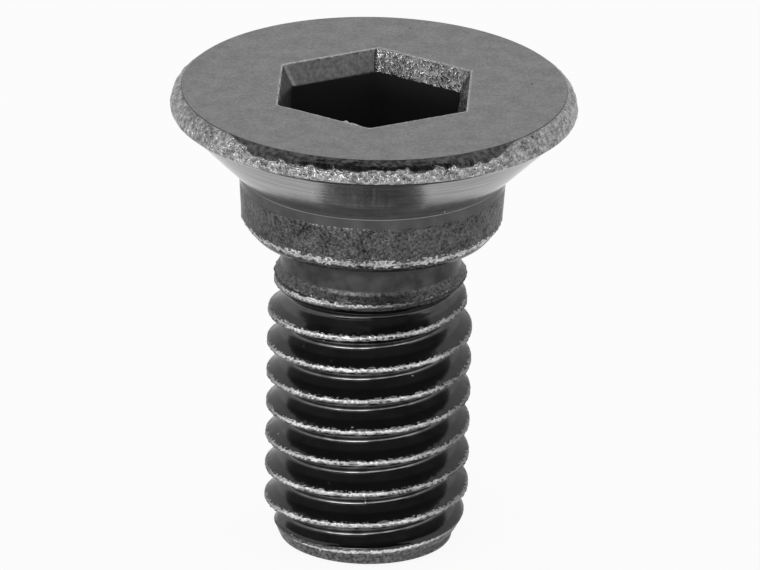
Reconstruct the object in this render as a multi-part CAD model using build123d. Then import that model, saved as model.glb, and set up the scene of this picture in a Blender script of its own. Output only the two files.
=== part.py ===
from build123d import *
import math
import os

# Countersunk hexagon-socket screw with a locating shoulder, headed and thread-rolled in one piece.
# Millimetres. +Z runs up the screw's axis, and the origin is the centre of the flat tip it stands on.

NODE = "screw"
LENGTH = 11.5  # tip to head face

# Head: flat face, rounded forged rim, conical seat
HEAD_D = 9.66
RIM_ROUND_R = 0.32
RIM_H = 0.56
RIM_DRAFT = 0.05
SEAT_ANGLE = 90.0

# Shoulder: plain cylinder that locates in the plate the screw holds
SHOULDER_D = 6.32
SHOULDER_L = 1.4
SHOULDER_CHAMFER_R = 0.27
SHOULDER_CHAMFER_H = 0.33

# Neck, and the blank's diameter, from which the rolled crests rise
NECK_D = 4.28
NECK_L = 0.87
NECK_ROOT_R = 0.2
NECK_CONE_H = 0.25
BLANK_D = 4.6

# Thread: right hand, M5 x 0.8 profile, rolled, so the crests rise and the roots sink from the blank
THREAD_D = 4.88
PITCH = 0.8
THREAD_ANGLE = 60.0
DEPTH_PER_PITCH = 0.6134
CREST_PER_PITCH = 0.125
THREAD_START_H = 0.608  # a crest's height above the tip, on the +X side
RUNOUT_L = 1.0
CREST_RUNOUT_L = 0.55

# Tip: chamfered thread start and a short drafted point
TIP_CHAMFER_L = 0.5
TIP_NECK_D = 4.32
TIP_D = 4.14
TIP_L = 0.33
GROOVE_START_L = 0.45

# Hexagon socket with a flared mouth and a drilled bottom
HEX_AF = 4.0
HEX_MOUTH_AF = 4.5
HEX_FLARE_L = 0.5
HEX_DEPTH = 2.3
HEX_CORNER_R = 0.12
HEX_TURN = -2.1
HEX_FLOOR_D = 3.76
HEX_FLOOR_ANGLE = 140.0

SECTORS_PER_TURN = 4
POINTS_PER_SECTOR = 7


def half_angle_tan(included_angle):
    """Tangent of half an included angle in degrees."""
    return math.tan(math.radians(included_angle / 2))


def stations():
    """Heights above the tip where one form of the screw ends and the next begins."""
    seat_h = (HEAD_D / 2 - RIM_DRAFT - SHOULDER_D / 2) / half_angle_tan(SEAT_ANGLE)
    z = {"face": LENGTH}
    z["rim_round"] = z["face"] - RIM_ROUND_R
    z["rim"] = z["face"] - RIM_H
    z["shoulder_top"] = z["rim"] - seat_h
    z["shoulder_foot"] = z["shoulder_top"] - SHOULDER_L
    z["neck_foot"] = z["shoulder_foot"] - NECK_L
    z["thread_top"] = z["neck_foot"] - NECK_CONE_H
    z["thread_foot"] = TIP_L
    return z


def corner_at(section, radius, height):
    """The section's corner at a radius and a height."""
    return section.vertices().sort_by_distance((radius, height, 0))[0]


def upper_profile(z):
    """Half section of the head, shoulder and neck without the socket, on the XZ plane."""
    face_r = HEAD_D / 2 - RIM_ROUND_R
    outline = [
        (face_r, z["face"]),
        (0, z["face"]),
        (0, z["thread_top"]),
        (BLANK_D / 2, z["thread_top"]),
        (NECK_D / 2, z["neck_foot"]),
        (NECK_D / 2, z["shoulder_foot"]),
        (SHOULDER_D / 2 - SHOULDER_CHAMFER_R, z["shoulder_foot"]),
        (SHOULDER_D / 2, z["shoulder_foot"] + SHOULDER_CHAMFER_H),
        (SHOULDER_D / 2, z["shoulder_top"]),
        (HEAD_D / 2 - RIM_DRAFT, z["rim"]),
        (HEAD_D / 2, z["rim_round"]),
    ]
    with BuildSketch(Plane.XZ) as section:
        with BuildLine():
            Polyline(*outline)
            CenterArc((face_r, z["rim_round"]), RIM_ROUND_R, 0, 90)
        make_face()
        fillet(corner_at(section, NECK_D / 2, z["shoulder_foot"]), NECK_ROOT_R)
    return section.sketch


def hexagon(across_flats):
    """Socket outline with slightly rounded corners, one corner towards the back before its turn."""
    outline = Rot(0, 0, 90 + HEX_TURN) * RegularPolygon(across_flats / 2, 6, major_radius=False)
    return fillet(outline.vertices(), HEX_CORNER_R)


def hex_socket(z):
    """Void of the socket: flared mouth, straight hexagon and drilled bottom."""
    mouth = Pos(0, 0, z["face"]) * hexagon(HEX_MOUTH_AF)
    throat = Pos(0, 0, z["face"] - HEX_FLARE_L) * hexagon(HEX_AF)
    flare = loft([mouth, throat], ruled=True)
    floor_z = z["face"] - HEX_DEPTH
    shaft = Pos(0, 0, floor_z) * extrude(hexagon(HEX_AF), HEX_DEPTH - HEX_FLARE_L)
    drill_h = HEX_FLOOR_D / 2 / half_angle_tan(HEX_FLOOR_ANGLE)
    bottom = Pos(0, 0, floor_z - drill_h / 2) * Cone(0, HEX_FLOOR_D / 2, drill_h)
    return flare + shaft + bottom


class ThreadForm:
    """Rolled thread's skin from the tip's point to the blank, as ruled faces between helical edges.

    A ridge has four helical edges: root, crest, crest, root. Each edge keeps its height along the
    helix, and its radius follows the chamfer at the tip and the run-out at the blank, where the
    crest and the root meet in one plain circle.
    """

    def __init__(self, foot, top):
        depth = DEPTH_PER_PITCH * PITCH
        root_r = THREAD_D / 2 - depth
        crest_half = CREST_PER_PITCH * PITCH / 2
        root_half = crest_half + depth * half_angle_tan(THREAD_ANGLE)
        self.foot = foot
        self.top = top
        self.crest = [
            (foot, TIP_NECK_D / 2),
            (foot + TIP_CHAMFER_L, THREAD_D / 2),
            (top - RUNOUT_L, THREAD_D / 2),
            (top - CREST_RUNOUT_L, BLANK_D / 2),
            (top, BLANK_D / 2),
        ]
        self.root = [
            (foot, TIP_NECK_D / 2),
            (foot + GROOVE_START_L, root_r),
            (top - RUNOUT_L, root_r),
            (top, BLANK_D / 2),
        ]
        self.ridge = [
            (-root_half, self.root),
            (-crest_half, self.crest),
            (crest_half, self.crest),
            (root_half, self.root),
        ]
        self.edges = {}

    def radius(self, table, height):
        """Radius at a height, on the straight stretches between a table's heights."""
        for (z0, r0), (z1, r1) in zip(table, table[1:]):
            if height <= z1:
                return r0 + (r1 - r0) * (height - z0) / (z1 - z0)
        return table[-1][1]

    def height(self, turns, line):
        """Height of a ridge line after so many turns from the +X side."""
        ridge, corner = line
        return THREAD_START_H + PITCH * (turns + ridge) + self.ridge[corner][0]

    def point(self, turns, line):
        """Point of a line after so many turns, where the foot and top circles are lines as well."""
        if line == "foot":
            z, r = self.foot, TIP_NECK_D / 2
        elif line == "top":
            z, r = self.top, BLANK_D / 2
        else:
            z = min(max(self.height(turns, line), self.foot), self.top)
            r = self.radius(self.ridge[line[1]][1], z)
        angle = 2 * math.pi * turns
        return (r * math.cos(angle), r * math.sin(angle), z)

    def edge(self, start, end, line):
        """Edge along a line between two turn values, made once and shared by both its faces."""
        key = (start, end, line)
        if key not in self.edges:
            steps = POINTS_PER_SECTOR - 1
            turns = [start + (end - start) * i / steps for i in range(steps + 1)]
            points = [self.point(t, line) for t in turns]
            if line in ("foot", "top"):
                self.edges[key] = Edge.make_three_point_arc(points[0], points[steps // 2], points[-1])
            else:
                self.edges[key] = Edge.make_spline(points)
        return self.edges[key]

    def sectors(self):
        """Turn values that split the skin wherever a line crosses the foot or the top circle."""
        crossings = {i / SECTORS_PER_TURN for i in range(SECTORS_PER_TURN)}
        for offset, _ in self.ridge:
            for level in (self.foot, self.top):
                crossings.add(((level - THREAD_START_H - offset) / PITCH) % 1.0)
        starts = []
        for turns in sorted(crossings):
            if not starts or turns - starts[-1] > 1e-3:
                starts.append(turns)
        return list(zip(starts, starts[1:] + [starts[0] + 1.0]))

    def faces(self):
        """All the ruled faces of the skin."""
        ridges = range(-3, math.ceil((self.top - self.foot) / PITCH) + 3)
        lines = [(ridge, corner) for ridge in ridges for corner in range(len(self.ridge))]
        skin = []
        for start, end in self.sectors():
            middle = (start + end) / 2
            inside = [line for line in lines if self.foot < self.height(middle, line) < self.top]
            inside.sort(key=lambda line: self.height(middle, line))
            column = ["foot"] + inside + ["top"]
            for below, above in zip(column, column[1:]):
                low_edge = self.edge(start, end, below)
                high_edge = self.edge(start, end, above)
                skin.append(Face.make_surface_from_curves(low_edge, high_edge))
        return skin


def without_disc(solid, height):
    """A solid's faces, apart from the flat disc at a height where another form goes on."""
    on_height = [abs(f.bounding_box().min.Z - height) + abs(f.bounding_box().max.Z - height) < 1e-6
                 for f in solid.faces()]
    return [f for f, skip in zip(solid.faces(), on_height) if not skip]


def screw():
    """The finished screw as one solid."""
    z = stations()
    upper = revolve(upper_profile(z), Axis.Z) - hex_socket(z)
    point = Pos(0, 0, TIP_L / 2) * Cone(TIP_D / 2, TIP_NECK_D / 2, TIP_L)
    skin = ThreadForm(z["thread_foot"], z["thread_top"]).faces()
    skin += without_disc(upper, z["thread_top"])
    skin += without_disc(point, z["thread_foot"])
    solid = Solid(Shell(Face.sew_faces(skin)[0]))
    solid.label = NODE
    return solid


os.makedirs("parts", exist_ok=True)
export_step(screw(), os.path.join("parts", NODE + ".step"))
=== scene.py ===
"""A black steel countersunk screw with a hexagon socket and a rolled thread."""

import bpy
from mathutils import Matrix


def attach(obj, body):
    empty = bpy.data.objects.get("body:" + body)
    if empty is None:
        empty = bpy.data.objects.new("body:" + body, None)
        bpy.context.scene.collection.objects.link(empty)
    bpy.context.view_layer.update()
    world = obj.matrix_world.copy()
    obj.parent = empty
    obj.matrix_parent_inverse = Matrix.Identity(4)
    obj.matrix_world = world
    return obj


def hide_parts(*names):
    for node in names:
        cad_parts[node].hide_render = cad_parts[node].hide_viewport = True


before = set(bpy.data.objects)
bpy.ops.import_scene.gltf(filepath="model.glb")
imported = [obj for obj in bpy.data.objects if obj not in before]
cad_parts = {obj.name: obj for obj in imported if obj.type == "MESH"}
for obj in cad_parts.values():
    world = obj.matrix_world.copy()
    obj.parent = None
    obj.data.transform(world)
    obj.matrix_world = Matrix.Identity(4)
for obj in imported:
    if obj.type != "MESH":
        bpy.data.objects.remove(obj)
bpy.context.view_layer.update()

import logging
import math
from dataclasses import dataclass, field
from enum import Enum
from types import SimpleNamespace
from typing import Callable, Sequence

import bmesh
import bpy
from mathutils import Matrix, Vector, noise

log = logging.getLogger("screw")

# A row of an outline is a radius and a height in mm, and a move gives the final row at an
# angle, a radius and a height.
Row = tuple[float, float]
Move = Callable[[float, float, float], Row]

MM = 0.001
COLUMNS = 288
WELD = 0.0008  # Points nearer than this, in mm, become one.

# Sizes in mm that more than one part of the screw shares. Heights are above the tip.
FACE = 11.5
BLANK = 2.3  # The radius under the neck, where the thread runs out.
RING = 6.797  # The height of the torn ring, where the thread ends.
PITCH = 0.8
THREAD_START = 0.608  # The height of the first crest on the +X side.

HEX_CORNER = math.radians(27.9)
HEX_SIDE = math.pi / 3  # The turn from one corner of the hexagon to the next.


class Zone(Enum):
    """The coarseness of a patch of surface, as the size in mm of its grains."""

    FINE = 0.07
    SCALE = 0.16
    LUMP = 0.32
    BROAD = 0.7


def grain(zone: Zone, angle: float, radius: float, height: float, seed: float = 0.0) -> float:
    """Gives the height of a rough surface at one place.

    Args:
        zone: How coarse the surface is.
        angle: The angle round the axis, in radians.
        radius: The distance from the axis, in mm.
        height: The height above the tip, in mm.
        seed: Moves the pattern, so that two surfaces differ.

    Returns:
        A value from about -1 to 1.
    """
    place = Vector((radius * math.cos(angle), radius * math.sin(angle), height)) / zone.value
    return noise.noise(place + Vector((seed, seed * 1.7, seed * 0.6)))


def ramp(value: float, start: float, end: float) -> float:
    """Gives 0 before start, 1 after end and a smooth rise between."""
    t = min(max((value - start) / (end - start), 0.0), 1.0)
    return t * t * (3 - 2 * t)


def plateau(value: float, stops: Sequence[float]) -> float:
    """Gives 1 between the middle two of four stops, 0 outside all four and smooth rises between."""
    return ramp(value, stops[0], stops[1]) * (1 - ramp(value, stops[2], stops[3]))


def between(value: float, start: float, end: float, low: float, high: float) -> float:
    """Gives low before start, high after end and a straight line between."""
    t = min(max((value - start) / (end - start), 0.0), 1.0)
    return low + (high - low) * t


def swell(off: float, height: float, width: float) -> float:
    """Gives a smooth swelling of a height and half width, at a distance from its middle."""
    return height * math.exp(-((off / width) ** 2))


def line(start: Row, end: Row, count: int) -> list[Row]:
    """Gives count rows from start towards end, without end itself."""
    return [
        (start[0] + (end[0] - start[0]) * i / count, start[1] + (end[1] - start[1]) * i / count)
        for i in range(count)
    ]


def path(points: Sequence[Row], counts: Sequence[int]) -> list[Row]:
    """Gives the rows of a path through several points.

    Args:
        points: The points, in order.
        counts: The number of rows from each point towards the next.

    Returns:
        The rows, without the last point.
    """
    rows = []
    for start, end, count in zip(points, points[1:], counts):
        rows += line(start, end, count)
    return rows


def bow(centre: Row, reach: float, turn: tuple[float, float], count: int) -> list[Row]:
    """Gives the rows of a rounded edge.

    Args:
        centre: The radius and height of the round's centre.
        reach: The round's own radius.
        turn: The first and last angle in degrees, from straight outwards.
        count: The number of rows, the last left out.

    Returns:
        The rows, from the first angle on.
    """
    rows = []
    for i in range(count):
        a = math.radians(turn[0] + (turn[1] - turn[0]) * i / count)
        rows.append((centre[0] + reach * math.cos(a), centre[1] + reach * math.sin(a)))
    return rows


def column_angle(x: float, y: float) -> float:
    """Gives the angle of the column of vertices that a point belongs to."""
    step = math.tau / COLUMNS
    return HEX_CORNER + round((math.atan2(y, x) - HEX_CORNER) / step) * step


def torn_ring(angle: float, height: float) -> float:
    """Gives how far the torn ring at the head of the thread stands out, at an angle and height."""
    near = 1 - ramp(abs(height - RING), 0.0, 0.16)
    lumps = 0.03 * grain(Zone.SCALE, angle, BLANK, height, 21.0)
    return near * (lumps + 0.012 * grain(Zone.FINE, angle, BLANK, height, 22.0))


def add_object(name: str, bm: bmesh.types.BMesh) -> bpy.types.Object:
    """Makes an object of a working mesh, which is then freed.

    Args:
        name: The name of the object and its mesh.
        bm: The working mesh, in metres.

    Returns:
        The object, in the scene.
    """
    mesh = bpy.data.meshes.new(name)
    bm.to_mesh(mesh)
    bm.free()
    obj = bpy.data.objects.new(name, mesh)
    bpy.context.scene.collection.objects.link(obj)
    return obj


@dataclass
class Skin:
    """The screw's one closed skin, put together from bands that share their columns."""

    name: str
    mesh: bmesh.types.BMesh = field(default_factory=bmesh.new)
    axis_reach: float = 1e-4
    turn_weld: float = 0.001
    sliver: float = 1e-5

    def add_band(self, rows: Sequence[Row], move: Move, rise: float = 0.0) -> None:
        """Turns an outline round the axis and adds it to the skin.

        Args:
            rows: The outline's radius and height, row by row.
            move: Gives the final radius and height at an angle, radius and height.
            rise: The height that one turn gains, for a thread.
        """
        band = bmesh.new()
        side = (math.cos(HEX_CORNER), math.sin(HEX_CORNER))
        verts = [band.verts.new((r * side[0], r * side[1], z)) for r, z in rows]
        edges = [band.edges.new(pair) for pair in zip(verts, verts[1:])]
        bmesh.ops.spin(
            band,
            geom=verts + edges,
            cent=(0, 0, 0),
            axis=(0, 0, 1),
            dvec=(0, 0, rise / COLUMNS),
            angle=math.tau,
            steps=COLUMNS,
            use_merge=rise == 0,
        )
        bmesh.ops.remove_doubles(band, verts=band.verts, dist=self.turn_weld)
        for v in band.verts:
            reach = math.hypot(v.co.x, v.co.y)
            if reach < self.axis_reach:
                continue
            angle = column_angle(v.co.x, v.co.y)
            radius, height = move(angle, reach, v.co.z)
            v.co = (radius * math.cos(angle), radius * math.sin(angle), height)
        bmesh.ops.remove_doubles(band, verts=band.verts, dist=WELD)
        held = bpy.data.meshes.new("band")
        band.to_mesh(held)
        band.free()
        self.mesh.from_mesh(held)
        bpy.data.meshes.remove(held)

    def finish(self) -> bpy.types.Object:
        """Welds the bands, turns their faces outwards and makes the object.

        Returns:
            The screw's object, in metres, at the origin.
        """
        bm = self.mesh
        bmesh.ops.remove_doubles(bm, verts=bm.verts, dist=WELD)
        bmesh.ops.dissolve_degenerate(bm, dist=self.sliver, edges=bm.edges)
        bmesh.ops.recalc_face_normals(bm, faces=bm.faces)
        open_edges = sum(not e.is_manifold for e in bm.edges)
        for face in bm.faces:
            face.smooth = True
        bmesh.ops.scale(bm, vec=(MM, MM, MM), verts=bm.verts)
        obj = add_object(self.name, bm)
        log.info("%s: %d faces, %d open edges", self.name, len(obj.data.polygons), open_edges)
        return obj


@dataclass
class Socket:
    """The hexagon socket: a drilled floor, straight walls and a flared mouth."""

    across: float = 4.0
    mouth_across: float = 4.5
    flare: float = 0.5
    depth: float = 2.3
    corner: float = 0.1
    floor_radius: float = 1.88
    floor_sink: float = 0.684
    row_radius: float = 2.1  # The radius of the wall's rows before they take its shape.
    grain_radius: float = 2.3
    burr_angle: float = -1.86
    burr: Row = (0.13, 0.02)  # How far the burr stands in, and its half width in radians.
    burr_skirt: tuple[float, float, float] = (0.09, 0.06, 0.05)
    nick: float = 0.09
    tear: float = 0.02
    tear_depths: tuple[float, ...] = (0.62, 0.4, 0.05, 0.0)
    lip_depth: float = 0.07

    def reach(self, angle: float, across: float) -> float:
        """Gives the hexagon's radius at an angle, for a width across its flats."""
        flat = across / 2
        half = HEX_SIDE / 2
        off = (angle - HEX_CORNER) % HEX_SIDE - half
        touch = math.atan((flat - self.corner) * math.tan(half) / flat)
        if abs(off) <= touch:
            return flat / math.cos(off)
        centre = (flat - self.corner) / math.cos(half)
        turn = half - abs(off)
        chord = math.sqrt(max(self.corner**2 - (centre * math.sin(turn)) ** 2, 0))
        return centre * math.cos(turn) + chord

    def across_at(self, height: float) -> float:
        """Gives the hexagon's width across its flats at a height."""
        return between(height, FACE - self.flare, FACE, self.across, self.mouth_across)

    def mouth(self, angle: float) -> float:
        """Gives the radius of the mouth's edge, with its nicks and the burr left by the punch."""
        off = (angle - self.burr_angle + math.pi) % math.tau - math.pi
        aside, height, width = self.burr_skirt
        burr = swell(off, *self.burr) + swell(off - aside, height, width)
        chips = max(0.0, grain(Zone.SCALE, angle, self.grain_radius, 1.0))
        nicks = self.nick * ramp(-math.cos(angle), 0.8, 0.9) * chips
        rough = 0.012 * grain(Zone.FINE, angle, self.grain_radius, 2.0)
        return self.reach(angle, self.mouth_across) - burr + nicks + rough

    def wall(self, angle: float, radius: float, height: float) -> Row:
        """Shapes the walls, of which one is torn by the punch."""
        rough = ramp(math.cos(angle), 0.0, 0.1) * ramp(math.sin(angle), 0.4, 0.5)
        rough *= plateau(height, [FACE - d for d in self.tear_depths])
        torn = noise.noise(Vector((math.cos(angle) * 30, math.sin(angle) * 30, height * 2.5)))
        lip = self.mouth(angle) - self.reach(angle, self.mouth_across)
        lip *= ramp(height, FACE - self.lip_depth, FACE)
        return self.reach(angle, self.across_at(height)) + self.tear * rough * torn + lip, height

    def floor(self, angle: float, radius: float, height: float) -> Row:
        """Shapes the drilled floor, with its outermost row on the walls."""
        if radius > self.floor_radius + 0.01:
            return self.wall(angle, radius, height)
        return radius, height

    def build(self, skin: Skin) -> None:
        """Adds the socket's floor and walls to the skin."""
        foot = FACE - self.depth
        rows = line((0, foot - self.floor_sink), (self.floor_radius, foot), 5)
        skin.add_band(rows + [(self.floor_radius, foot), (self.row_radius, foot)], self.floor)
        heights = (foot, FACE - 0.6, FACE - 0.4, FACE - 0.06, FACE)
        stops = [(self.row_radius, height) for height in heights]
        skin.add_band(path(stops, (5, 4, 6, 3)) + stops[-1:], self.wall)


@dataclass
class Head:
    """The head: a satin face, a rough forged rim and the turned seat."""

    socket: Socket
    face_radius: float = 4.575
    mouth_rows: tuple[float, ...] = (2.0, 2.03, 2.1)  # Rows that are drawn to the socket's mouth.
    last_row: float = 0.015  # How far the face's last row lies in from its edge.
    round_over: tuple[Row, ...] = ((0.012, 0.004), (0.02, 0.012))
    bulge: tuple[Row, ...] = (
        (4.66, 0.06),
        (4.74, 0.13),
        (4.795, 0.22),
        (4.83, 0.33),
        (4.85, 0.43),
        (4.848, 0.5),
        (4.835, 0.53),
    )
    rim_foot: Row = (4.805, 10.948)
    seat_top: Row = (4.735, 10.935)
    seat_foot: Row = (3.19, 9.39)
    rough: float = 0.02
    rough_depths: tuple[float, ...] = (0.01, 0.1, 0.5, 0.556)

    def face_shape(self, angle: float, radius: float, height: float) -> Row:
        """Draws the rows of the face in from its edge to the socket's mouth."""
        t = between(radius, self.mouth_rows[0], self.face_radius, 0.0, 1.0)
        mouth = self.socket.mouth(angle)
        return mouth + (self.face_radius - mouth) * t, height

    def rim_shape(self, angle: float, radius: float, height: float) -> Row:
        """Roughens the rim between its two edges."""
        rough = plateau(FACE - height, self.rough_depths)
        lumps = grain(Zone.LUMP, angle, radius, height)
        scale = lumps + 0.6 * grain(Zone.SCALE, angle, radius, height)
        return radius + self.rough * rough * scale, height

    def build(self, skin: Skin) -> None:
        """Adds the face, rim and seat to the skin."""
        first, second, third = self.mouth_rows
        rows = [(first, FACE), (second, FACE)] + line((third, FACE), (self.face_radius, FACE), 9)
        rows += [(self.face_radius - self.last_row, FACE), (self.face_radius, FACE)]
        skin.add_band(rows, self.face_shape)
        near, far = [(self.face_radius + out, FACE - down) for out, down in self.round_over]
        points = [far] + [(r, FACE - down) for r, down in self.bulge] + [self.rim_foot]
        rows = [(self.face_radius, FACE), near] + path(points, [3] * len(points))
        rows += path((self.rim_foot, self.seat_top, self.seat_foot), (3, 14))
        rows += [self.near_seat_foot(), self.seat_foot]
        skin.add_band(rows, self.rim_shape)

    def near_seat_foot(self) -> Row:
        """Gives the row close above the foot of the seat, which keeps that edge sharp."""
        slope = (self.seat_foot[0] - self.seat_top[0], self.seat_foot[1] - self.seat_top[1])
        return self.seat_foot[0] - slope[0] * 0.01, self.seat_foot[1] - slope[1] * 0.01


@dataclass
class Shoulder:
    """The grained shoulder under the seat, and the turned neck above the thread."""

    top: Row = (3.19, 9.39)
    foot: Row = (3.113, 8.25)
    edge: Row = (2.87, 7.93)
    under: float = 7.917
    neck_radius: float = 2.14
    neck_flare: float = 0.02
    root_round: float = 0.3
    neck_foot: float = 7.047
    rough: float = 0.006
    rough_heights: tuple[float, ...] = (8.0, 8.15, 9.0, 9.2)
    fray: float = 0.018
    fray_heights: tuple[float, ...] = (7.95, 8.1, 8.25, 8.4)

    def shape(self, angle: float, radius: float, height: float) -> Row:
        """Grains the shoulder and frays its lower edge."""
        skin = plateau(height, self.rough_heights)
        fray = plateau(height, self.fray_heights)
        grains = grain(Zone.FINE, angle, radius, height, 3.0)
        lumps = grain(Zone.SCALE, angle, radius, height, 5.0)
        radius += self.rough * skin * grains + self.fray * fray * (lumps + grains)
        return radius + torn_ring(angle, height), height

    def build(self, skin: Skin) -> None:
        """Adds the shoulder and the neck to the skin, from the seat down."""
        corner = self.neck_radius + self.root_round
        below_top = (self.top[0], self.top[1] - 0.015)
        points = (below_top, self.foot, self.edge, (corner, self.under))
        rows = [self.top] + path(points, (16, 6, 4))
        rows += bow((corner, self.under - self.root_round), self.root_round, (90, 180), 8)
        neck = (self.neck_radius, self.under - self.root_round)
        neck_foot = (self.neck_radius + self.neck_flare, self.neck_foot)
        rows += path((neck, neck_foot, (BLANK, RING)), (5, 5)) + [(BLANK, RING)]
        skin.add_band(rows, self.shape)


@dataclass
class Thread:
    """The rolled thread, from its run-out under the neck to its chamfered start at the tip."""

    foot: float = 0.09
    crest: float = 2.45
    taper: float = 0.003
    root: float = 1.97
    crest_half: float = 0.0625
    root_half: float = 0.11
    flank: float = 0.3541
    crest_fade: Row = (5.7, 6.3)
    root_fade: float = 6.42
    inset: float = 0.01
    chamfer: tuple[Row, ...] = ((2.06, 0.09), (2.165, 0.34), (2.32, 0.63), (2.45, 0.85))
    full_height: float = 0.3  # Below this height the ridge grows out of the chamfer.
    grain_radius: float = 2.4
    fray_shift: float = 0.022
    fray: float = 0.01
    chamfer_rough: float = 0.008
    seam: Row = (0.035, 0.02)  # The depth of the seam along the crest, and its half width.
    row_radius: float = 2.2
    turns: int = 12
    shares: tuple[float, ...] = (
        0.0, 0.014, 0.03, 0.048, 0.0625, 0.08, 0.13, 0.22, 0.31, 0.39, 0.43, 0.465,
    )

    def crest_radius(self, height: float) -> float:
        """Gives the radius of the crest at a height."""
        full = self.crest - self.taper * (RING - height)
        return full + (BLANK - full) * ramp(height, *self.crest_fade)

    def root_radius(self, height: float) -> float:
        """Gives the radius of the root, which fades out under the neck."""
        end = RING - self.inset
        return between(height, self.root_fade, end, self.root, BLANK - self.inset)

    def cut(self, height: float) -> float:
        """Gives the radius of the chamfer at the tip, which has no limit above it."""
        for low, high in zip(self.chamfer, self.chamfer[1:]):
            if height <= high[1]:
                return between(height, low[1], high[1], low[0], high[0])
        return math.inf

    def profile(self, phase: float) -> float:
        """Gives how far out the thread is at a share of the pitch.

        Args:
            phase: The distance from the middle of a crest, as a share of the pitch.

        Returns:
            1 on the crest, falling to 0 at the middle of the root.
        """
        off = abs(phase)
        if off <= self.crest_half:
            return 1.0
        bottom = 0.5 - off
        if bottom >= self.root_half:
            return 1 - (off - self.crest_half) / self.flank
        edge = 1 - (0.5 - self.root_half - self.crest_half) / self.flank
        hollow = (1 - (bottom / self.root_half) ** 2) * self.root_half / (2 * self.flank)
        return edge - hollow

    def shape(self, angle: float, radius: float, height: float) -> Row:
        """Gives the thread's skin at an angle and height, held between its two ends."""
        z = min(max(height, self.foot), RING)
        fray = grain(Zone.SCALE, angle, self.grain_radius, z, 11.0)
        fray += grain(Zone.FINE, angle, self.grain_radius, z, 12.0)
        turns = (z - THREAD_START) / PITCH - angle / math.tau
        phase = turns - round(turns)
        near_crest = ramp(self.profile(phase), 0.84, 0.97)
        share = self.profile(phase + self.fray_shift * fray * near_crest)
        low, high = self.root_radius(z), self.crest_radius(z)
        out = low + (high - low) * share
        out += (BLANK - out) * (1 - ramp(RING - z, 0.0, 0.06)) + torn_ring(angle, z)
        worn = ramp(share, 0.9, 1.0) * ramp(RING - z, 0.0, 0.1)
        broken = ramp(grain(Zone.BROAD, angle, self.grain_radius, z, 9.0), -0.2, 0.4)
        seam = swell(phase, 1.0, self.seam[1]) * broken
        out += worn * (self.fray * fray - self.seam[0] * seam)
        limit = self.cut(z)
        start = ramp(z, self.foot, self.full_height)
        if out > limit:
            return limit + start * self.chamfer_rough * fray, z
        return (limit + (out - limit) * start if z < self.full_height else out), z

    def build(self, skin: Skin) -> None:
        """Winds the thread's outline up the axis and adds it to the skin."""
        shares = [*self.shares, 0.5, *(1 - share for share in reversed(self.shares[1:]))]
        first = THREAD_START + PITCH * HEX_CORNER / math.tau
        first += PITCH * math.floor((self.foot - 2 * PITCH - first) / PITCH)
        rows = [
            (self.row_radius, first + PITCH * (turn + share))
            for turn in range(self.turns)
            for share in shares
        ]
        skin.add_band(rows, self.shape, PITCH)


@dataclass
class Tip:
    """The turned end that the screw stands on."""

    bevel: tuple[Row, ...] = ((2.06, 0.09), (2.045, 0.07), (1.98, 0.035), (1.9, 0.005), (1.88, 0.0))

    def shape(self, angle: float, radius: float, height: float) -> Row:
        """Leaves the end as it is turned."""
        return radius, height

    def build(self, skin: Skin) -> None:
        """Adds the tip's worn bevel and flat end to the skin."""
        end = line(self.bevel[-1], (0, 0), 4)[1:] + [(0, 0)]
        skin.add_band(list(self.bevel) + end, self.shape)


class Expression:
    """A shader value that takes part in Python's arithmetic."""

    def __init__(self, tree: "Shader", socket: bpy.types.NodeSocket) -> None:
        """Wraps a socket of a node tree."""
        self.tree = tree
        self.socket = socket

    def math(self, operation: str, *others: object) -> "Expression":
        """Adds a Math node.

        Args:
            operation: The node's operation.
            others: The values or expressions of its other inputs.

        Returns:
            The node's result.
        """
        inputs = dict(enumerate((self, *others)))
        return self.tree.node("ShaderNodeMath", {"operation": operation}, inputs)

    def __add__(self, other: object) -> "Expression":
        """Adds."""
        return self.math("ADD", other)

    __radd__ = __add__

    def __mul__(self, other: object) -> "Expression":
        """Multiplies."""
        return self.math("MULTIPLY", other)

    __rmul__ = __mul__

    def __sub__(self, other: object) -> "Expression":
        """Subtracts."""
        return self.math("SUBTRACT", other)

    def __rsub__(self, other: float) -> "Expression":
        """Subtracts this from a number."""
        return self.tree.node("ShaderNodeMath", {"operation": "SUBTRACT"}, {0: other, 1: self})

    def __truediv__(self, other: object) -> "Expression":
        """Divides."""
        return self.math("DIVIDE", other)

    def rise(self, start: float, end: float) -> "Expression":
        """Gives 0 at start, 1 at end and a smooth rise between."""
        return self.tree.node(
            "ShaderNodeMapRange",
            {"interpolation_type": "SMOOTHSTEP"},
            {"Value": self, "From Min": start, "From Max": end, "To Min": 0.0, "To Max": 1.0},
        )

    def within(self, low: float, high: float, soft: float) -> "Expression":
        """Gives 1 between two values and 0 outside them, with soft edges."""
        return self.rise(low - soft, low + soft) * (1 - self.rise(high - soft, high + soft))


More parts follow.
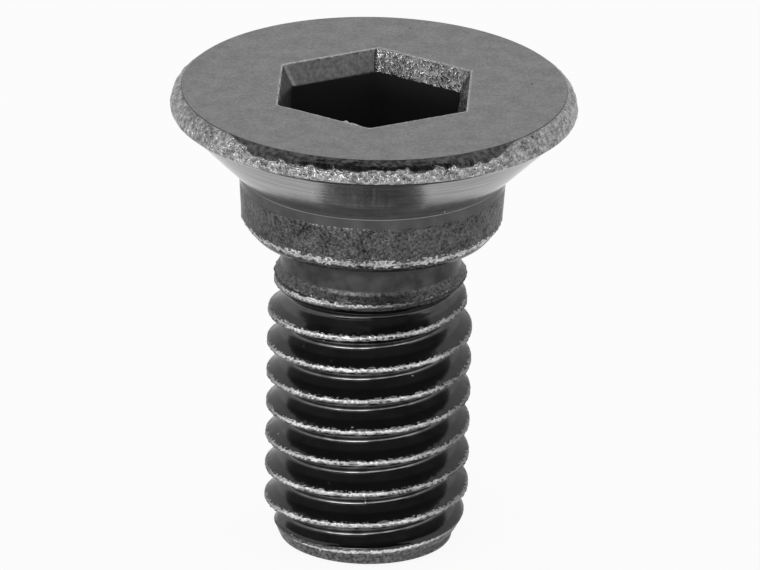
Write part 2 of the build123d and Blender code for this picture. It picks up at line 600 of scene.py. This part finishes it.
class Shader:
    """The node tree of a material or a world, written as expressions."""

    def __init__(self, owner: bpy.types.Material | bpy.types.World) -> None:
        """Empties the owner's node tree."""
        owner.use_nodes = True
        self.tree = owner.node_tree
        self.tree.nodes.clear()

    def node(
        self, kind: str, settings: dict, inputs: dict, output: object = 0
    ) -> Expression | None:
        """Adds one node.

        Args:
            kind: The node's type.
            settings: Its properties, set first.
            inputs: The values or links of its sockets, by name or number.
            output: The socket that the result reads, or None for a node without one.

        Returns:
            The chosen output, or None.
        """
        made = self.tree.nodes.new(kind)
        for name, value in settings.items():
            setattr(made, name, value)
        for key, value in inputs.items():
            if isinstance(value, Expression):
                self.tree.links.new(value.socket, made.inputs[key])
            else:
                made.inputs[key].default_value = value
        return None if output is None else Expression(self, made.outputs[output])

    def place(self) -> Expression:
        """Gives the object's own coordinates in mm."""
        raw = self.node("ShaderNodeTexCoord", {}, {}, "Object")
        return self.node("ShaderNodeVectorMath", {"operation": "SCALE"}, {0: raw, "Scale": 1 / MM})

    def seen(self) -> Expression:
        """Gives 1 to the camera, in a gloss and through glass, and 0 to plain light."""
        kinds = ("Is Camera Ray", "Is Glossy Ray", "Is Transmission Ray")
        eye, gloss, glass = [self.node("ShaderNodeLightPath", {}, {}, kind) for kind in kinds]
        return eye.math("MAXIMUM", gloss).math("MAXIMUM", glass)

    def split(self, place: Expression) -> list[Expression]:
        """Gives the three parts of a vector."""
        made = self.tree.nodes.new("ShaderNodeSeparateXYZ")
        self.tree.links.new(place.socket, made.inputs[0])
        return [Expression(self, out) for out in made.outputs]

    def speckle(
        self, place: Expression, size: float, detail: float = 2.0, rough: float = 0.5
    ) -> Expression:
        """Gives noise with grains of a size in mm."""
        return self.node(
            "ShaderNodeTexNoise",
            {"noise_dimensions": "3D"},
            {"Vector": place, "Scale": 1 / size, "Detail": detail, "Roughness": rough},
            "Fac",
        )

    def streaks(self, place: Expression, around: float, up: float) -> Expression:
        """Gives noise drawn out round the axis, with a width in mm around and up."""
        scale = (1 / around, 1 / around, 1 / up)
        drawn = self.node("ShaderNodeMapping", {}, {"Vector": place, "Scale": scale})
        return self.speckle(drawn, 1.0, 3.0, 0.6)

    def dots(self, place: Expression, spacing: float, width: float, rare: float) -> Expression:
        """Gives scattered dots.

        Args:
            place: The coordinates in mm.
            spacing: The distance between places where a dot may lie, in mm.
            width: A dot's width as a share of the spacing.
            rare: The share of places that stay bare.

        Returns:
            1 on a dot and 0 elsewhere.
        """
        cells = {"Vector": place, "Scale": 1 / spacing}
        near = self.node("ShaderNodeTexVoronoi", {}, cells, "Distance").rise(width * 0.6, width)
        pick = self.split(self.node("ShaderNodeTexVoronoi", {}, cells, "Color"))[0]
        return (1 - near) * pick.math("GREATER_THAN", rare)

    def blend(self, mask: Expression, low: object, high: object) -> Expression:
        """Mixes two colours by a mask."""
        inputs = {"Factor": mask, 6: low, 7: high}
        return self.node("ShaderNodeMix", {"data_type": "RGBA"}, inputs, 2)

    def grey(self, mask: Expression, low: float, high: float) -> Expression:
        """Mixes two greys by a mask."""
        return self.blend(mask, (low, low, low, 1), (high, high, high, 1))


@dataclass(frozen=True)
class Band:
    """A band of the finish: a stretch of height with soft ends, outside or inside a radius."""

    low: float
    high: float
    soft: float
    radius: Row
    inside: bool = False

    def mask(self, height: Expression, reach: Expression) -> Expression:
        """Gives 1 in the band and 0 elsewhere."""
        side = reach.rise(*self.radius)
        return height.within(self.low, self.high, self.soft) * (1 - side if self.inside else side)


@dataclass(frozen=True)
class BlackSteel:
    """Black oxide on steel: satin where it is flat, scaly on the rim, worn bright on the edges. The
    crest edges and roots facing -Y and the socket's mouth carry painted highlights; the socket's
    inside, the neck under the shoulder and the rim's top facing -Y carry painted shade.
    """

    face: float = 0.24
    oxide: float = 0.085
    turned: float = 0.3
    bare: float = 0.7
    # The grey of the socket's inside: painted shade for the dark of its depth.
    socket_shade: float = 0.02
    tint: float = 0.78
    relief: float = 0.00002  # The depth in metres of a ridge of height 1.
    on_face: Row = (11.49, 11.498)
    rim: Band = Band(10.955, 11.493, 0.005, (4.3, 4.4))
    lip: Band = Band(10.94, 10.965, 0.004, (4.72, 4.74))
    seat: Band = Band(9.385, 10.94, 0.006, (3.1, 3.15))
    shoulder: Band = Band(8.0, 9.12, 0.05, (2.7, 2.8))
    fray: Band = Band(8.11, 8.27, 0.02, (2.75, 2.85))
    threaded: Band = Band(0.36, 6.84, 0.02, (2.12, 2.18))
    ring: Band = Band(6.74, 6.84, 0.02, (2.2, 2.25))
    # The stretch of the thread whose roots carry a bright line: a painted highlight.
    root: Band = Band(0.7, 6.2, 0.05, (2.06, 2.1), inside=True)
    lead_in: Band = Band(10.98, 11.49, 0.01, (3.0, 3.1), inside=True)
    # The socket's walls and floor below the lead-in, painted near black as shade.
    depth: Band = Band(8.3, 10.98, 0.03, (2.6, 2.7), inside=True)
    # The upper neck under the shoulder, painted darker as shade.
    recess_shade: Band = Band(7.55, 7.94, 0.06, (2.75, 2.85), inside=True)
    cone: Band = Band(6.82, 7.1, 0.04, (2.6, 2.7), inside=True)
    neck: Band = Band(6.85, 7.9, 0.05, (2.6, 2.7), inside=True)
    hexagon_sides: tuple[float, ...] = (1.01, 2.057, 3.105)
    corner_lean: float = -0.0367
    dark_band: float = 0.19  # The height in mm by which the grain is kept off the rim's top on the side facing -Y, which leaves a darker band there: painted shade.
    tip_slope: float = 0.41

    def make(self) -> bpy.types.Material:
        """Builds the screw's material.

        Returns:
            The material.
        """
        material = bpy.data.materials.new("black_steel")
        s = Shader(material)
        place = s.place()
        noises = self.noises(s, place)
        masks = self.masks(s, place, noises)
        ridges = self.ridges(masks, noises)
        relief = {"Strength": 1.0, "Distance": self.relief, "Height": ridges}
        looks = {
            "Base Color": self.colour(s, masks, noises),
            "Metallic": 0.93,
            "Roughness": self.roughness(masks),
            "Specular Tint": (self.tint, self.tint, self.tint, 1),
            "Normal": s.node("ShaderNodeBump", {}, relief),
        }
        steel = s.node("ShaderNodeBsdfPrincipled", {}, looks)
        # Below the lead-in the socket is mixed to a near black matt finish: painted shade standing
        # in for the dark of its depth.
        socket_shade = (self.socket_shade, self.socket_shade, self.socket_shade, 1)
        looks = {"Base Color": socket_shade, "Roughness": 0.8, "Specular IOR Level": 0.1}
        dark = s.node("ShaderNodeBsdfPrincipled", {}, looks)
        surface = s.node("ShaderNodeMixShader", {}, {0: masks.depth, 1: steel, 2: dark})
        s.node("ShaderNodeOutputMaterial", {}, {"Surface": surface}, None)
        return material

    def noises(self, s: Shader, place: Expression) -> SimpleNamespace:
        """Makes the noises that the finish is drawn from, named by their grain.

        Args:
            s: The material's tree.
            place: The coordinates in mm.

        Returns:
            The noises, most of them spread out to run from 0 to 1.
        """
        return SimpleNamespace(
            mottle=s.speckle(place, 0.5, 4.0, 0.6),
            fine=s.speckle(place, 0.05, 1.0).rise(0.3, 0.7),
            grit=s.speckle(place, 0.09, 1.0).rise(0.3, 0.7),
            scale=s.speckle(place, 0.13).rise(0.3, 0.7),
            patch=s.speckle(place, 0.4).rise(0.35, 0.65),
            streak=s.streaks(place, 1.6, 0.035),
        )

    def masks(self, s: Shader, place: Expression, n: SimpleNamespace) -> SimpleNamespace:
        """Finds where each part of the finish lies.

        Args:
            s: The material's tree.
            place: The coordinates in mm.
            n: The noises that break up the edges.

        Returns:
            The masks, 1 where a part lies and 0 elsewhere.
        """
        m = SimpleNamespace()
        x, y, z = s.split(place)
        reach = (x * x + y * y).math("SQRT")
        facing = y * (-1.0) / reach
        # Brighter towards -Y and a little towards -X, down to 0.3 on the far side: a painted
        # highlight, used on the torn ring and on the crest flats and edges.
        m.worn = 0.3 + 0.7 * (facing + x * (-0.15) / reach).rise(0.35, 0.85)

        m.face = z.rise(*self.on_face)
        m.dust = s.dots(place, 0.35, 0.11, 0.93) * (1 - z.rise(11.0, 11.1))
        m.pits = s.dots(place, 0.42, 0.1, 0.93) * m.face
        plain = ("rim", "lip", "seat", "shoulder", "lead_in", "depth", "recess_shade", "cone", "neck")
        for name in plain:
            setattr(m, name, getattr(self, name).mask(z, reach))
        m.fray = self.fray.mask(z + (n.grit - 0.5) * 0.12, reach)
        m.ring = self.ring.mask(z + (n.grit - 0.5) * 0.06, reach)

        # Facing -Y, the rim's top keeps its darker oxide instead of the bright grain: painted
        # shade.
        front = facing.rise(0.66, 0.86) * self.dark_band
        broken = (n.patch - 0.5) * 0.14 * front.rise(0.0, self.dark_band)
        m.grained = m.rim * (1 - (z + front + broken).rise(11.47, 11.496))

        across = [(x * math.cos(a) + y * math.sin(a)).math("ABSOLUTE") for a in self.hexagon_sides]
        hexagon = across[0].math("MAXIMUM", across[1]).math("MAXIMUM", across[2])
        # A bright line round the socket's mouth: a painted highlight along its edge.
        m.mouth = z.rise(11.47, 11.48) * (1 - (hexagon + (n.grit - 0.5) * 0.03).rise(2.27, 2.3))
        m.corner = (x + y * self.corner_lean).within(-0.05, 0.05, 0.015)
        m.corner = m.corner * y.rise(2.2, 2.3) * (1 - z.rise(11.48, 11.49))
        m.torn_wall = m.lead_in * x.rise(-0.02, 0.05)

        turns = (z - THREAD_START) * (1 / PITCH) - y.math("ARCTAN2", x) * (1 / math.tau)
        phase = turns.math("WRAP", 0.5, -0.5)
        m.threaded = self.threaded.mask(z, reach)
        m.flat = phase.within(-0.065, 0.02, 0.012) * m.threaded
        m.edge = (phase + (n.grit - 0.5) * 0.05).within(-0.02, 0.09, 0.012) * m.threaded
        # A bright line along the middle of each root, strongest where it faces -Y: a painted
        # highlight.
        m.root = phase.math("ABSOLUTE").rise(0.455, 0.475) * self.root.mask(z, reach)
        m.root = m.root * (0.25 + 0.75 * facing.rise(0.72, 0.9))

        below = 1 - (z + (n.scale - 0.5) * 0.04).rise(0.48, 0.52)
        m.tip = below * (reach + (-self.tip_slope) * z).rise(1.98, 2.03)
        return m

    def colour(self, s: Shader, m: SimpleNamespace, n: SimpleNamespace) -> Expression:
        """Lays the colours one over another, each a noise between two greys.

        Args:
            s: The material's tree.
            m: The masks.
            n: The noises.

        Returns:
            The colour.
        """
        face, oxide, turned, bare = self.face, self.oxide, self.turned, self.bare
        mottle = n.mottle.rise(0.3, 0.7)
        fleck = n.fine * 0.5 + n.grit * 0.5
        film = n.fine * 0.6 + n.patch * 0.4
        crust = n.scale * 0.45 + n.grit * 0.3 + n.patch * 0.25
        sand = n.fine * 0.35 + n.grit * 0.35 + n.patch * 0.3
        torn = n.scale * 0.4 + n.patch * 0.3 + n.fine * 0.3
        layers = (
            (m.face, mottle * 0.35 + n.fine * 0.35 + n.grit * 0.3, face * 0.68, face * 1.36),
            (m.seat, n.streak.rise(0.3, 0.7), turned * 0.75, turned * 1.3),
            (m.rim, n.scale, oxide * 0.5, oxide * 1.5),
            (m.grained, crust, bare * 0.13, bare * 0.9),
            (m.lip, n.fine, bare * 0.5, bare * 0.9),
            (m.shoulder, sand, oxide * 0.1, oxide * 1.9),
            (m.fray, film, bare * 0.3, bare * 1.35),
            (m.neck, mottle, oxide * 0.4, oxide * 0.9),
            # Painted shade under the shoulder.
            (m.recess_shade, n.mottle, oxide * 0.35, oxide * 0.7),
            (m.cone, fleck, oxide * 0.3, oxide * 2.0),
            # The torn ring and the crests are bare, worn metal, made brighter towards -Y by m.worn:
            # painted highlight.
            (m.ring * (0.45 + 0.55 * m.worn), fleck, bare * 0.4, bare * 1.4),
            (m.tip, n.grit * 0.6 + n.fine * 0.4, oxide * 0.3, oxide * 2.4),
            (m.threaded * (1 - m.tip), n.mottle, oxide * 0.45, oxide * 0.85),
            (m.flat * m.worn, n.patch * 0.6 + n.grit * 0.4, oxide * 1.2, bare * 0.4),
            (m.edge * m.worn, film, bare * 0.6, bare * 1.4),
            # The root line: painted highlight.
            (m.root, n.patch, bare * 0.2, bare * 0.5),
            (m.lead_in, n.mottle * 0.6 + n.grit * 0.4, oxide * 1.1, bare * 0.45),
            (m.torn_wall, torn, oxide * 0.25, bare * 0.7),
            # The mouth's edge, a painted highlight, and a bright line down the back corner of the
            # lead-in.
            (m.mouth * 0.7 + m.corner * m.lead_in * 0.8, n.fine, bare * 0.5, bare),
            (m.pits, m.pits, oxide * 0.5, oxide * 0.4),
            (m.dust, m.dust, bare, bare),
        )
        colour = s.grey(n.mottle.rise(0.25, 0.75), oxide * 0.8, oxide * 1.2)
        for mask, pattern, low, high in layers:
            colour = s.blend(mask, colour, s.grey(pattern, low, high))
        return colour

    def roughness(self, m: SimpleNamespace) -> Expression:
        """Gives the roughness, glossiest on the seat and the flanks of the thread."""
        rough = 0.16 + m.face * 0.14 + m.rim * 0.1 + m.shoulder * 0.14 + m.fray * 0.15
        rough = rough + m.tip * 0.2 + m.lead_in * 0.1 + m.edge * 0.2 + m.flat * 0.1
        return rough + m.neck * 0.1 + m.cone * 0.15 + m.ring * 0.2 + (-0.05) * m.seat

    def ridges(self, m: SimpleNamespace, n: SimpleNamespace) -> Expression:
        """Gives the height of the fine relief.

        Args:
            m: The masks.
            n: The noises.

        Returns:
            The height, in units of the relief's depth.
        """
        coarse = m.grained * 2.0 + m.rim * 0.3 + m.fray * 1.0 + m.torn_wall * 1.2 + m.tip * 0.8
        grit = m.grained * 0.8 + m.rim * 0.1 + m.shoulder * 1.2 + m.edge * 0.8 + m.ring
        grit = grit + m.tip * 0.5 + m.torn_wall * 0.3
        fine = m.shoulder * 0.4 + m.fray * 0.5 + m.edge * 0.4 + m.face * 0.04 + m.neck * 0.08
        ridges = n.scale * (coarse + m.ring) + n.grit * grit + n.fine * fine
        return ridges + n.streak * m.seat * 0.12 + m.dust * 2.0 + (-0.5) * m.pits


@dataclass(frozen=True)
class Plain:
    """A plain matt finish for the floor and the cards."""

    name: str
    level: float
    white: float = 0.0

    def make(self) -> bpy.types.Material:
        """Builds the material, which the eye and reflections can see mixed with plain white.

        Returns:
            The material.
        """
        material = bpy.data.materials.new(self.name)
        s = Shader(material)
        colour = (self.level, self.level, self.level, 1)
        looks = {"Base Color": colour, "Roughness": 0.9, "Specular IOR Level": 0.0}
        surface = s.node("ShaderNodeBsdfPrincipled", {}, looks)
        if self.white:
            glow = {"Color": (1, 1, 1, 1), "Strength": 1.0}
            white = s.node("ShaderNodeEmission", {}, glow)
            mixed = {0: s.seen() * self.white, 1: surface, 2: white}
            surface = s.node("ShaderNodeMixShader", {}, mixed)
        s.node("ShaderNodeOutputMaterial", {}, {"Surface": surface}, None)
        return material


@dataclass(frozen=True)
class Lamp:
    """A soft lamp that looks at the head, with its turn from the front and its rise in degrees."""

    name: str
    turn: float
    rise: float
    distance: float
    size: Row
    power: float
    aim: tuple[float, float, float] = (0, 0, 0.008)

    def hang(self) -> None:
        """Hangs the lamp."""
        data = bpy.data.lights.new(self.name, "AREA")
        data.shape, data.energy = "RECTANGLE", self.power
        data.size, data.size_y = self.size
        lamp = bpy.data.objects.new(self.name, data)
        bpy.context.scene.collection.objects.link(lamp)
        a, e = math.radians(self.turn), math.radians(self.rise)
        back = Vector((math.sin(a) * math.cos(e), -math.cos(a) * math.cos(e), math.sin(e)))
        lamp.location = Vector(self.aim) + back * self.distance
        lamp.rotation_euler = back.to_track_quat("Z", "Y").to_euler()


@dataclass(frozen=True)
class Studio:
    """The floor, the light and the camera. Lengths are in metres, the camera's in mm."""

    floor_half: float = 2.0
    floor_level: float = 0.85
    floor_white: float = 0.92
    card_width: float = 0.72
    card_height: float = 0.84
    card_away: float = 0.25
    card_middle: float = 0.5
    room_light: float = 0.85
    elevation: float = 22.2226
    roll: float = 1.1876
    distance: float = 600.0
    lens: float = 1194.8
    sensor: float = 36.0
    target: tuple[float, float, float] = (0.2303, -1.773, 7.160)

    def lay_floor(self) -> None:
        """Makes the plain pale floor."""
        bm = bmesh.new()
        bmesh.ops.create_grid(bm, x_segments=1, y_segments=1, size=self.floor_half)
        floor = add_object("floor", bm)
        finish = Plain("pale_floor", self.floor_level, self.floor_white)
        floor.data.materials.append(finish.make())

    def hang_card(self) -> None:
        """Hangs the dark card in front and above, which only reflections see."""
        bm = bmesh.new()
        bmesh.ops.create_grid(bm, x_segments=1, y_segments=1, size=0.5)
        for v in bm.verts:
            height = self.card_middle + v.co.y * self.card_height
            v.co = Vector((v.co.x * self.card_width, -self.card_away, height))
        card = add_object("front_card", bm)
        card.data.materials.append(Plain("black_card", 0.01).make())
        card.visible_camera = False
        card.visible_shadow = False
        card.visible_diffuse = False

    def light(self) -> None:
        """Lights the white room, which is plain white to the eye and in reflections."""
        world = bpy.data.worlds.new("room")
        bpy.context.scene.world = world
        s = Shader(world)
        strength = s.seen() * (1.0 - self.room_light) + self.room_light
        back = s.node("ShaderNodeBackground", {}, {"Strength": strength})
        s.node("ShaderNodeOutputWorld", {}, {0: back}, None)

    def place_camera(self) -> None:
        """Makes the camera, a long lens well back, tilted a little."""
        data = bpy.data.cameras.new("camera")
        data.sensor_width, data.lens = self.sensor, self.lens
        data.clip_start, data.clip_end = 0.05, 10.0
        camera = bpy.data.objects.new("camera", data)
        bpy.context.scene.collection.objects.link(camera)
        tilt = math.radians(self.elevation)
        back = Vector((0, -math.cos(tilt), math.sin(tilt)))
        camera.location = Vector(self.target) * MM + back * (self.distance * MM)
        turn = back.to_track_quat("Z", "Y").to_matrix().to_4x4()
        turn = turn @ Matrix.Rotation(math.radians(self.roll), 4, "Z")
        camera.rotation_euler = turn.to_euler()
        bpy.context.scene.camera = camera


def main() -> None:
    """Builds the screw and the studio round it."""
    logging.basicConfig(level=logging.INFO, format="%(name)s: %(message)s")
    socket = Socket()
    skin = Skin("countersunk_screw")
    for part in (socket, Head(socket), Shoulder(), Thread(), Tip()):
        part.build(skin)
        log.info("%s added", type(part).__name__)
    screw = skin.finish()
    screw.data.materials.append(BlackSteel().make())
    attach(screw, "root")
    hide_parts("screw")
    studio = Studio()
    studio.lay_floor()
    studio.hang_card()
    studio.light()
    Lamp("low_strip", turn=-28, rise=9, distance=0.4, size=(0.4, 0.08), power=0.65).hang()
    studio.place_camera()
    bpy.context.scene.view_settings.view_transform = "Standard"


if __name__ == "__main__":
    main()
